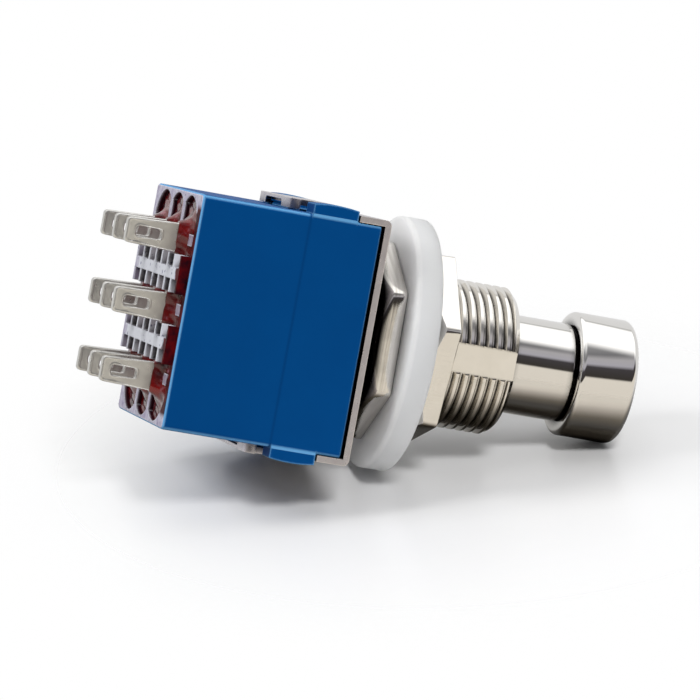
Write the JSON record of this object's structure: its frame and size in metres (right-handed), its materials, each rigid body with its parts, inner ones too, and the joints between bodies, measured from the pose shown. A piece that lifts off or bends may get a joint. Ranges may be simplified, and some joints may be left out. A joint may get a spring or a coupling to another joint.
{
  "type": "footswitch",
  "caption": "Latching panel-mount footswitch: blue moulded body clipped in a steel frame, threaded bushing with nuts and nylon washer, chrome push button and potted solder lugs.",
  "frame": {"origin": "on the button's axis at the front face of the frame's plate", "axes": "+Z along the button, out of the panel; the poles lie side by side along X, the two throws of each along Y; the keyway faces -Y"},
  "size_m": [0.0204, 0.0204, 0.0434],
  "materials": {
    "blue_plastic": "satin moulded",
    "zinc_steel": "zinc-plated sheet",
    "nickel": "bright nickel plate",
    "chrome": "polished",
    "nylon": "translucent, natural",
    "acetal": "satin moulded",
    "potting": "poured resin",
    "spring_steel": "drawn wire",
    "tin_plate": "tin plate",
    "silver_alloy": "silver plate"
  },
  "bodies": {
    "switch": {"housing": "blue_plastic", "frame": "zinc_steel", "bushing": "nickel", "inner_nut": "nickel", "spacer_washer": "nylon", "outer_nut": "nickel", "guide_plate": "acetal", "potting": "potting", "return_spring": "spring_steel", "common_lug_1": "tin_plate", "throw_lug_1a": "tin_plate", "throw_lug_1b": "tin_plate", "common_lug_2": "tin_plate", "throw_lug_2a": "tin_plate", "throw_lug_2b": "tin_plate", "common_lug_3": "tin_plate", "throw_lug_3a": "tin_plate", "throw_lug_3b": "tin_plate"},
    "button": {"button": "chrome", "retaining_clip": "spring_steel", "pusher_pin": "spring_steel"},
    "pusher": {"pusher": "acetal"},
    "rocker": {"rocker": "acetal", "plunger_spring_1": "spring_steel", "plunger_spring_2": "spring_steel", "plunger_spring_3": "spring_steel"},
    "plunger_1": {"contact_plunger_1": "silver_alloy"},
    "plunger_2": {"contact_plunger_2": "silver_alloy"},
    "plunger_3": {"contact_plunger_3": "silver_alloy"},
    "blade_1": {"contact_blade_1": "silver_alloy"},
    "blade_2": {"contact_blade_2": "silver_alloy"},
    "blade_3": {"contact_blade_3": "silver_alloy"}
  },
  "joints": [
    {"name": "button_press", "type": "slide", "parent": "switch", "child": "button", "axis": [0, 0, 1], "range_m": [-0.0025, 0], "stiffness_N_per_m": 800, "springref_m": 0.003, "deforming": ["return_spring"]},
    {"name": "pusher_swing", "type": "hinge", "parent": "button", "child": "pusher", "pos_m": [0, 0, -0.003], "axis": [1, 0, 0], "range_deg": [-8, 8], "stiffness_Nm_per_rad": 0.001},
    {"name": "rocker_flip", "type": "hinge", "parent": "switch", "child": "rocker", "pos_m": [0, 0, -0.008], "axis": [1, 0, 0], "range_deg": [-30, 0]},
    {"name": "plunger_1_slide", "type": "slide", "parent": "rocker", "child": "plunger_1", "axis": [0, -0.2588, 0.9659], "range_m": [0, 0.0003], "stiffness_N_per_m": 300, "springref_m": -0.001, "deforming": ["plunger_spring_1"]},
    {"name": "plunger_2_slide", "type": "slide", "parent": "rocker", "child": "plunger_2", "axis": [0, -0.2588, 0.9659], "range_m": [0, 0.0003], "stiffness_N_per_m": 300, "springref_m": -0.001, "deforming": ["plunger_spring_2"]},
    {"name": "plunger_3_slide", "type": "slide", "parent": "rocker", "child": "plunger_3", "axis": [0, -0.2588, 0.9659], "range_m": [0, 0.0003], "stiffness_N_per_m": 300, "springref_m": -0.001, "deforming": ["plunger_spring_3"]},
    {"name": "blade_1_tilt", "type": "hinge", "parent": "switch", "child": "blade_1", "pos_m": [-0.0055, 0, -0.0119], "axis": [1, 0, 0], "range_deg": [0, 12]},
    {"name": "blade_2_tilt", "type": "hinge", "parent": "switch", "child": "blade_2", "pos_m": [0, 0, -0.0119], "axis": [1, 0, 0], "range_deg": [0, 12]},
    {"name": "blade_3_tilt", "type": "hinge", "parent": "switch", "child": "blade_3", "pos_m": [0.0055, 0, -0.0119], "axis": [1, 0, 0], "range_deg": [0, 12]}
  ],
  "couplings": [
    {"joint": "plunger_2_slide", "follows": "plunger_1_slide", "ratio": 1},
    {"joint": "plunger_3_slide", "follows": "plunger_1_slide", "ratio": 1},
    {"joint": "blade_1_tilt", "follows": "rocker_flip", "ratio": -0.4},
    {"joint": "blade_2_tilt", "follows": "rocker_flip", "ratio": -0.4},
    {"joint": "blade_3_tilt", "follows": "rocker_flip", "ratio": -0.4}
  ]
}
